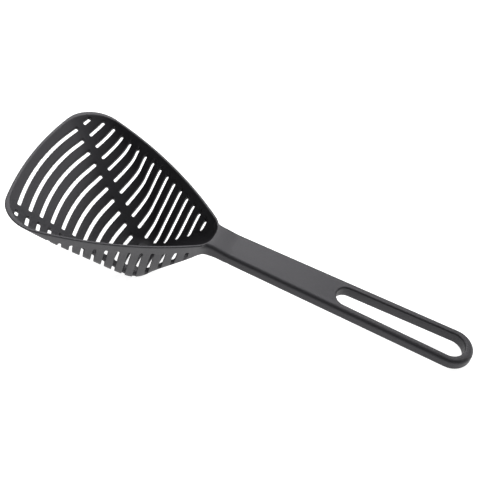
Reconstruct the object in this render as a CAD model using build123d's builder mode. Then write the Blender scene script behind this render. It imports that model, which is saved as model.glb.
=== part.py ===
from math import radians, sqrt, tan
import os

from build123d import *

# The scoop is drawn along X: the lip is at x = 0, the handle's end at LENGTH and its flat top
# at z = 0. The bowl is drawn with its rim at z = 0 too, and is then lifted and tilted, so that
# the rim rises a little from the lip to the neck.
LENGTH = 350.0
RIM_LIFT = 0.1
RIM_TILT = 0.45

# Bowl: the wall's faces are its middle surface moved up or down by WALL_DROP and in or out by
# WALL_SPREAD, which makes the wall between 0.95 and 1.35 times WALL thick
WALL = 2.0
WALL_DROP = 0.61 * WALL
WALL_SPREAD = 0.33 * WALL
OUTER_ROUNDING = 0.5
INNER_ROUNDING = 0.7
SIDE_RADIUS = 279.8
SIDE_CENTRE_X = -28.6
SIDE_CENTRE_Y = -205.9
LIP_BULGE = 12.0
LIP_CORNER_RADIUS = 27.0
# One row for each level of the bowl, drawn at the middle of its wall:
# height, front x, bulge of the front, side inset, front corner radius, rear x, rear radius
LEVELS = [
    (5.0, -8.0, 13.0, -1.7, 27.0, 149.7, 18.5),
    (0.0, 0.0, LIP_BULGE, 0.0, LIP_CORNER_RADIUS, 148.2, 17.5),
    (-10.0, 16.0, 9.0, 3.4, 26.0, 146.0, 10.0),
    (-18.0, 28.0, 7.0, 5.9, 26.0, 141.4, 10.5),
    (-28.0, 42.0, 5.5, 8.9, 26.0, 132.4, 16.0),
    (-38.0, 56.0, 4.5, 12.3, 23.0, 122.9, 19.0),
    (-48.0, 70.0, 3.0, 15.7, 19.0, 114.2, 18.0),
    (-54.0, 79.0, 2.0, 18.5, 15.0, 109.5, 14.0),
    (-58.0, 86.5, 1.0, 22.5, 8.0, 104.5, 7.0),
    (-59.4, 90.5, 0.7, 25.0, 4.5, 102.0, 4.0),
]

# Drain slots: one curved slot for every rib pitch, cut straight down
SLOT_COUNT = 16
MIDDLE_SLOT_COUNT = 15
SLOT_WIDTH = 2.6
SLOT_PITCH = 8.21
FIRST_SLOT_X = 8.4
FIRST_SLOT_RADIUS = 171.5
SLOT_CENTRE_STEP = -0.68
SLOT_CORNER_RADIUS = 1.1
# Two webs run from the lip to the neck and divide the slots in three.
# The corners of a web's outer and inner edge, as x and y
WEB_OUTER = [(0.0, 60.0), (88.5, 19.6), (113.0, 15.5), (142.0, 13.0)]
WEB_INNER = [(0.0, 53.2), (88.5, 12.8), (94.5, 8.6), (119.5, 7.3), (142.0, 9.0)]
SIDE_SLOTS_END = 142.0
SIDE_MARGIN = 2.6
CORNER_MARGIN_RADIUS = 30.0

# Neck: it grows from the handle's own section into the back of the bowl.
# For each section: x, half width of the underside, height of the underside
NECK_BLEND = 0.6
RAMP_START = 149.0
RAMP_END = 165.0
NECK_SECTIONS = [
    (135.0, 7.0, -26.0),
    (139.0, 8.4, -20.2),
    (143.0, 9.8, -15.3),
    (147.0, 10.8, -11.6),
    (151.0, 12.1, -9.9),
]
NECK_END_SECTIONS = [155.0, 159.0, 163.0]

# Handle
HANDLE_START = 142.0
START_HALF_WIDTH = 12.0
END_HALF_WIDTH = 15.6
THICKNESS = 9.3
EDGE_RADIUS = 2.8
HANG_SLOT_START = 244.8
HANG_SLOT_END = 343.4
HANG_SLOT_START_RADIUS = 8.1
HANG_SLOT_END_RADIUS = 10.2
HANG_SLOT_ROUNDING = 1.2

# Tang inside the handle
SEAM_X = 166.0
TANG_START = 156.0
TANG_END = 232.0
TANG_WIDTH = 14.0
TANG_THICKNESS = 4.4
TANG_END_RADIUS = 4.0

# At rest the bowl and the handle's end stand on a table
REST_TILT = 11.64


def side_y(x, inset):
    radius = SIDE_RADIUS - inset
    return SIDE_CENTRE_Y + sqrt(radius**2 - (x - SIDE_CENTRE_X) ** 2)


def draw_level(height, front, bulge, inset, corner_radius, rear, rear_radius):
    corner_x = front + bulge
    corner_y = side_y(corner_x, inset)
    middle_x = (corner_x + rear) / 2
    middle_y = side_y(middle_x, inset)
    rear_y = side_y(rear, inset)
    with BuildSketch(Plane.XY.offset(height)) as level:
        with BuildLine():
            ThreePointArc((corner_x, -corner_y), (front, 0), (corner_x, corner_y))
            ThreePointArc((corner_x, corner_y), (middle_x, middle_y), (rear, rear_y))
            Line((rear, rear_y), (rear, -rear_y))
            ThreePointArc((rear, -rear_y), (middle_x, -middle_y), (corner_x, -corner_y))
        make_face()
        fillet(level.vertices().group_by(Axis.X)[0], corner_radius)
        fillet(level.vertices().group_by(Axis.X)[-1], rear_radius)
    return level.sketch.face()


def bowl_levels(side):
    # side is 1 for the outer face of the wall and -1 for the inner face
    return [draw_level(height - side * WALL_DROP, front, bulge, inset - side * WALL_SPREAD,
                       corner_radius, rear + side * WALL_SPREAD / 2, rear_radius)
            for height, front, bulge, inset, corner_radius, rear, rear_radius in LEVELS]


def draw_slots():
    with BuildSketch() as middle_field:
        with BuildLine():
            Polyline(*WEB_INNER, *[(x, -y) for x, y in reversed(WEB_INNER)], close=True)
        make_face()
    with BuildSketch() as side_field:
        add(draw_level(0, 0.5, LIP_BULGE, SIDE_MARGIN, CORNER_MARGIN_RADIUS,
                       SIDE_SLOTS_END, 10.0))
        with BuildLine():
            Polyline(*WEB_OUTER, *[(x, -y) for x, y in reversed(WEB_OUTER)], close=True)
        make_face(mode=Mode.SUBTRACT)
    slots = []
    for number in range(SLOT_COUNT):
        centre_x = FIRST_SLOT_X + FIRST_SLOT_RADIUS + number * SLOT_CENTRE_STEP
        radius = centre_x - FIRST_SLOT_X - number * SLOT_PITCH
        with BuildSketch() as slot:
            with Locations((centre_x, 0)):
                Circle(radius + SLOT_WIDTH / 2)
                Circle(radius - SLOT_WIDTH / 2, mode=Mode.SUBTRACT)
            if number < MIDDLE_SLOT_COUNT:
                add(middle_field.sketch + side_field.sketch, mode=Mode.INTERSECT)
            else:
                add(side_field.sketch, mode=Mode.INTERSECT)
            fillet(slot.vertices(), SLOT_CORNER_RADIUS)
        slots.append(slot.sketch)
    return slots


def draw_handle():
    with BuildSketch() as plan:
        with Locations((HANDLE_START, 0)):
            Circle(START_HALF_WIDTH)
        with Locations((LENGTH - END_HALF_WIDTH, 0)):
            Circle(END_HALF_WIDTH)
        make_hull()
    return plan.sketch


def handle_y(x):
    # the straight side that touches the circles at both ends of the handle
    span = LENGTH - END_HALF_WIDTH - HANDLE_START
    slope = (END_HALF_WIDTH - START_HALF_WIDTH) / span
    return START_HALF_WIDTH * sqrt(1 + slope**2) + (x - HANDLE_START) * slope


def neck_y(x):
    # whichever is wider, the rim or the handle, with a soft change between them
    rim = side_y(x, -WALL / 2)
    return (rim + handle_y(x)) / 2 + sqrt(((rim - handle_y(x)) / 2) ** 2 + NECK_BLEND**2)


def neck_top(x):
    share = min(max((RAMP_END - x) / (RAMP_END - RAMP_START), 0), 1)
    return share**2 * (3 - 2 * share) * (RIM_LIFT + x * tan(radians(RIM_TILT)))


def draw_neck_section(x, half_top, top, half_bottom, bottom):
    with BuildSketch(Plane.YZ.offset(x)) as section:
        with BuildLine():
            Polyline((-half_top, top), (half_top, top), (half_bottom, bottom),
                     (-half_bottom, bottom), close=True)
        make_face()
        fillet(section.vertices(), EDGE_RADIUS)
    return section.sketch.face()


with BuildPart() as neck:
    sections = [draw_neck_section(x, neck_y(x), neck_top(x), half_bottom, bottom)
                for x, half_bottom, bottom in NECK_SECTIONS]
    sections += [draw_neck_section(x, neck_y(x), neck_top(x), handle_y(x), -THICKNESS)
                 for x in NECK_END_SECTIONS]
    sections.append(draw_neck_section(SEAM_X, handle_y(SEAM_X), 0, handle_y(SEAM_X), -THICKNESS))
    loft(sections)

with BuildPart() as cavity:
    loft(bowl_levels(-1))

with BuildPart() as lip_limit:
    add(draw_level(0, 0, LIP_BULGE, -WALL, LIP_CORNER_RADIUS, 150.0, 17.5))
    extrude(amount=-80)

with BuildPart() as tang:
    with BuildSketch(Plane.XY.offset(-(THICKNESS + TANG_THICKNESS) / 2)):
        with Locations(((TANG_START + TANG_END) / 2, 0)):
            RectangleRounded(TANG_END - TANG_START, TANG_WIDTH, TANG_END_RADIUS)
    extrude(amount=TANG_THICKNESS)

bowl_place = Pos(0, 0, RIM_LIFT) * Rot(0, -RIM_TILT, 0)

with BuildPart() as bowl:
    loft(bowl_levels(1))
    add(lip_limit.part, mode=Mode.INTERSECT)
    fillet(bowl.faces().sort_by(Axis.Z)[-1].edges(), OUTER_ROUNDING)
    add(bowl_place.inverse() * neck.part)
    add(cavity.part, mode=Mode.SUBTRACT)
    fillet(bowl.edges(Select.LAST).filter_by_position(Axis.Z, -0.01, 0.01), INNER_ROUNDING)
    for slot in draw_slots():
        extrude(slot, amount=-80, mode=Mode.SUBTRACT)

with BuildPart() as scoop_head:
    add(bowl_place * bowl.part)
    add(tang.part)

with BuildPart() as handle_grip:
    add(draw_handle())
    extrude(amount=-THICKNESS)
    fillet(handle_grip.edges().filter_by(Plane.XY), EDGE_RADIUS)
    with BuildSketch():
        with Locations((HANG_SLOT_START + HANG_SLOT_START_RADIUS, 0)):
            Circle(HANG_SLOT_START_RADIUS)
        with Locations((HANG_SLOT_END - HANG_SLOT_END_RADIUS, 0)):
            Circle(HANG_SLOT_END_RADIUS)
        make_hull()
    extrude(amount=-THICKNESS, mode=Mode.SUBTRACT)
    fillet(handle_grip.edges(Select.LAST).filter_by(Plane.XY), HANG_SLOT_ROUNDING)
    split(bisect_by=Plane.YZ.offset(SEAM_X))
    add(tang.part, mode=Mode.SUBTRACT)

pieces = {"scoop_head": scoop_head.part, "handle_grip": handle_grip.part}
turn = Rot(0, REST_TILT, 0)
box = Compound([turn * piece for piece in pieces.values()]).bounding_box()
rest = Pos(-box.center().X, 0, -box.min.Z) * turn

os.makedirs("parts", exist_ok=True)
for name, piece in pieces.items():
    placed = rest * piece
    placed.label = name
    export_step(placed, f"parts/{name}.step")
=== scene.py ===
from math import cos, radians, sin

import bmesh
import bpy
from mathutils import Matrix, Vector


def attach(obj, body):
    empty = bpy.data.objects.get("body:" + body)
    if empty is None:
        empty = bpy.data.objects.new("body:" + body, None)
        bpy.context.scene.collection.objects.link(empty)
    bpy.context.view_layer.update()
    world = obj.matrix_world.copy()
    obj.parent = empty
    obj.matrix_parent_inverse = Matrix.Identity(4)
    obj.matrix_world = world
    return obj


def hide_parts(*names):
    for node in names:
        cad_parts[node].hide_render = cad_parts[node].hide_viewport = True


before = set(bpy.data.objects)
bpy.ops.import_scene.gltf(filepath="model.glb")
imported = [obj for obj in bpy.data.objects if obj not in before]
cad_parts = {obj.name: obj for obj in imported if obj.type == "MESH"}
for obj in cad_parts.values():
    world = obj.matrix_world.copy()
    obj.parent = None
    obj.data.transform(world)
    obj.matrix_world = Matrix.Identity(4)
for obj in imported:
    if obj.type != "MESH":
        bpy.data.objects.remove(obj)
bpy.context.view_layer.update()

# Lengths are in metres. The scoop is worked on in its own frame, where the lip is near x = 0
# and the handle's flat top lies at z = 0. AT_REST places that frame as the scoop lies on a table.
MM = 0.001
REST_TILT = radians(11.64)
REST_SHIFT = Vector((-171.039, 0.0, 79.228)) * MM
AT_REST = Matrix.Translation(REST_SHIFT) @ Matrix.Rotation(REST_TILT, 4, "Y")

# Where the moulded head meets the grip, and the tang that the grip hides
SEAM_X = 166.0 * MM
TANG_END = 232.0 * MM
TANG_HALF_WIDTH = 7.0 * MM
TANG_HALF_THICKNESS = 2.2 * MM
HANDLE_MIDDLE_Z = -4.65 * MM
NEAR = 0.05 * MM

# Surface
WELD = 0.02 * MM
VOXEL = 0.3 * MM
SMOOTHING_FACTOR = 0.5
SMOOTHING_STEPS = 4
FACE_SHARE = 0.115

# Plastic: a texture's scale is roughly how many of its features fit in a metre
REFLECTANCE = 0.47
REFLECTION_TINT = (0.97, 0.95, 1.0, 1)
CLOUD_SCALE = 14.0
GRAIN_SCALE = 900.0
DARK_PLASTIC = (0.0165, 0.0162, 0.0185, 1)
LIGHT_PLASTIC = (0.0245, 0.024, 0.027, 1)
SMOOTHEST, ROUGHEST = 0.44, 0.56
GRAIN_STRENGTH = 0.35
GRAIN_DEPTH = 0.05 * MM

# Studio
FLOOR_HALF_SIZE = 4.0
FLOOR_GREY = 0.6
FLOOR_GLOW = 0.92
WORLD_STRENGTH = 0.14
# For each softbox: name, place, width and height, power in watts
SOFTBOXES = (
    ("key", (-0.2, 1.0, 1.1), (1.2, 0.9), 18.0),
    ("side", (1.1, 1.05, 0.5), (0.9, 0.7), 6.5),
    ("top", (0.0, 0.0, 1.5), (1.6, 1.6), 6.0),
)

# Camera
CAMERA_AZIMUTH = radians(20.923)
CAMERA_ELEVATION = radians(44.049)
CAMERA_ROLL = radians(1.45)
CAMERA_DISTANCE = 1003.41 * MM
CAMERA_TARGET = Vector((-11.10, 12.61, 39.79)) * MM
CAMERA_LENS = 103.367
SENSOR_WIDTH = 36.0


def outer_shell(node, is_hidden):
    """The CAD node's mesh in the scoop's own frame, without the faces that the joint hides."""
    mesh = bmesh.new()
    mesh.from_mesh(node.data)
    mesh.transform(AT_REST.inverted())
    hidden = [face for face in mesh.faces if is_hidden(face.calc_center_median())]
    bmesh.ops.delete(mesh, geom=hidden, context="FACES")
    shell = bpy.data.meshes.new(node.name + "_shell")
    mesh.to_mesh(shell)
    mesh.free()
    return shell


def in_tang(centre):
    return centre.x > SEAM_X - NEAR


def in_socket(centre):
    if centre.x < SEAM_X + NEAR:
        return True
    beside = abs(centre.y) < TANG_HALF_WIDTH + NEAR
    level = abs(centre.z - HANDLE_MIDDLE_Z) < TANG_HALF_THICKNESS + NEAR
    return beside and level and centre.x < TANG_END + NEAR


def moulded_skin(shells):
    """One smooth skin over the joined shells, with every edge softly rounded."""
    joined = bmesh.new()
    for shell in shells:
        joined.from_mesh(shell)
    bmesh.ops.remove_doubles(joined, verts=joined.verts, dist=WELD)
    mesh = bpy.data.meshes.new("skin")
    joined.to_mesh(mesh)
    joined.free()
    skin = bpy.data.objects.new("skin", mesh)
    bpy.context.scene.collection.objects.link(skin)
    remesh = skin.modifiers.new("voxels", "REMESH")
    remesh.mode = "VOXEL"
    remesh.voxel_size = VOXEL
    smooth = skin.modifiers.new("rounding", "SMOOTH")
    smooth.factor = SMOOTHING_FACTOR
    smooth.iterations = SMOOTHING_STEPS
    fewer = skin.modifiers.new("fewer_faces", "DECIMATE")
    fewer.ratio = FACE_SHARE
    bpy.context.view_layer.update()
    seen = skin.evaluated_get(bpy.context.evaluated_depsgraph_get())
    made = bpy.data.meshes.new_from_object(seen)
    bpy.data.objects.remove(skin)
    return made


def half_of_skin(skin, name, keep_above_seam):
    """The part of the skin on one side of the seam, closed there and put in its place at rest."""
    half = bmesh.new()
    half.from_mesh(skin)
    # a tiny bubble inside the skin is left by the decimation as two faces back to back
    stray = [
        face
        for face in half.faces
        if len({near for edge in face.edges for near in edge.link_faces}) < 3
    ]
    bmesh.ops.delete(half, geom=stray, context="FACES")
    everything = list(half.verts) + list(half.edges) + list(half.faces)
    cut = bmesh.ops.bisect_plane(
        half,
        geom=everything,
        plane_co=(SEAM_X, 0, 0),
        plane_no=(1, 0, 0),
        clear_inner=keep_above_seam,
        clear_outer=not keep_above_seam,
    )
    rim = [edge for edge in cut["geom_cut"] if isinstance(edge, bmesh.types.BMEdge)]
    for face in half.faces:
        face.smooth = True
    for cap in bmesh.ops.edgeloop_fill(half, edges=rim)["faces"]:
        cap.smooth = False
    for edge in rim:
        edge.smooth = False
    half.transform(AT_REST)
    bmesh.ops.recalc_face_normals(half, faces=half.faces)
    mesh = bpy.data.meshes.new(name)
    half.to_mesh(mesh)
    half.free()
    piece = bpy.data.objects.new(name, mesh)
    bpy.context.scene.collection.objects.link(piece)
    return piece


def plastic(name):
    """Satin black nylon with a fine moulded grain."""
    material = bpy.data.materials.new(name)
    material.use_nodes = True
    nodes, links = material.node_tree.nodes, material.node_tree.links
    shader = nodes["Principled BSDF"]
    shader.inputs["Specular IOR Level"].default_value = REFLECTANCE
    shader.inputs["Specular Tint"].default_value = REFLECTION_TINT
    place = nodes.new("ShaderNodeTexCoord")

    def noise(scale, detail):
        texture = nodes.new("ShaderNodeTexNoise")
        texture.inputs["Scale"].default_value = scale
        texture.inputs["Detail"].default_value = detail
        links.new(place.outputs["Object"], texture.inputs["Vector"])
        return texture

    cloudy = noise(CLOUD_SCALE, 3.0)
    grain = noise(GRAIN_SCALE, 4.0)
    colour = nodes.new("ShaderNodeValToRGB")
    colour.color_ramp.elements[0].color = DARK_PLASTIC
    colour.color_ramp.elements[1].color = LIGHT_PLASTIC
    links.new(cloudy.outputs["Fac"], colour.inputs["Fac"])
    links.new(colour.outputs["Color"], shader.inputs["Base Color"])
    roughness = nodes.new("ShaderNodeMapRange")
    roughness.inputs["To Min"].default_value = SMOOTHEST
    roughness.inputs["To Max"].default_value = ROUGHEST
    links.new(grain.outputs["Fac"], roughness.inputs["Value"])
    links.new(roughness.outputs["Result"], shader.inputs["Roughness"])
    bump = nodes.new("ShaderNodeBump")
    bump.inputs["Strength"].default_value = GRAIN_STRENGTH
    bump.inputs["Distance"].default_value = GRAIN_DEPTH
    links.new(grain.outputs["Fac"], bump.inputs["Height"])
    links.new(bump.outputs["Normal"], shader.inputs["Normal"])
    return material


def make_floor():
    mesh = bpy.data.meshes.new("floor")
    floor_form = bmesh.new()
    bmesh.ops.create_grid(floor_form, x_segments=1, y_segments=1, size=FLOOR_HALF_SIZE)
    floor_form.to_mesh(mesh)
    floor_form.free()
    floor = bpy.data.objects.new("floor", mesh)
    bpy.context.scene.collection.objects.link(floor)
    white = bpy.data.materials.new("pale_paper")
    white.use_nodes = True
    shader = white.node_tree.nodes["Principled BSDF"]
    shader.inputs["Base Color"].default_value = (FLOOR_GREY, FLOOR_GREY, FLOOR_GREY, 1)
    shader.inputs["Roughness"].default_value = 0.9
    shader.inputs["Specular IOR Level"].default_value = 0.1
    shader.inputs["Emission Color"].default_value = (1, 1, 1, 1)
    shader.inputs["Emission Strength"].default_value = FLOOR_GLOW
    floor.data.materials.append(white)


def softbox(name, place, size, power):
    lamp = bpy.data.lights.new(name, "AREA")
    lamp.shape = "RECTANGLE"
    lamp.size, lamp.size_y = size
    lamp.energy = power
    box = bpy.data.objects.new(name, lamp)
    box.location = place
    box.rotation_mode = "QUATERNION"
    box.rotation_quaternion = (CAMERA_TARGET - box.location).to_track_quat("-Z", "Y")
    bpy.context.scene.collection.objects.link(box)


def make_camera():
    back = Vector(
        (
            sin(CAMERA_AZIMUTH) * cos(CAMERA_ELEVATION),
            -cos(CAMERA_AZIMUTH) * cos(CAMERA_ELEVATION),
            sin(CAMERA_ELEVATION),
        )
    )
    level = Vector((cos(CAMERA_AZIMUTH), sin(CAMERA_AZIMUTH), 0.0))
    upright = back.cross(level)
    right = level * cos(CAMERA_ROLL) + upright * sin(CAMERA_ROLL)
    up = back.cross(right)
    camera_data = bpy.data.cameras.new("camera")
    camera_data.sensor_width = SENSOR_WIDTH
    camera_data.lens = CAMERA_LENS
    camera = bpy.data.objects.new("camera", camera_data)
    turn = Matrix((right, up, back)).transposed().to_4x4()
    camera.matrix_world = Matrix.Translation(CAMERA_TARGET + back * CAMERA_DISTANCE) @ turn
    bpy.context.scene.collection.objects.link(camera)
    bpy.context.scene.camera = camera


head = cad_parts["scoop_head"]
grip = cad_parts["handle_grip"]
skin = moulded_skin([outer_shell(head, in_tang), outer_shell(grip, in_socket)])
for name, node, slot, above in (
    ("slotted_bowl", "scoop_head", "head_plastic", False),
    ("handle", "handle_grip", "grip_plastic", True),
):
    piece = half_of_skin(skin, name, above)
    piece.data.materials.clear()
    piece.data.materials.append(plastic(slot))
    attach(piece, "root")
    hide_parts(node)

make_floor()
for lamp_name, place, size, power in SOFTBOXES:
    softbox(lamp_name, place, size, power)
world = bpy.data.worlds.new("studio")
world.use_nodes = True
world.node_tree.nodes["Background"].inputs["Color"].default_value = (1, 1, 1, 1)
world.node_tree.nodes["Background"].inputs["Strength"].default_value = WORLD_STRENGTH
bpy.context.scene.world = world
bpy.context.scene.view_settings.view_transform = "Standard"
make_camera()
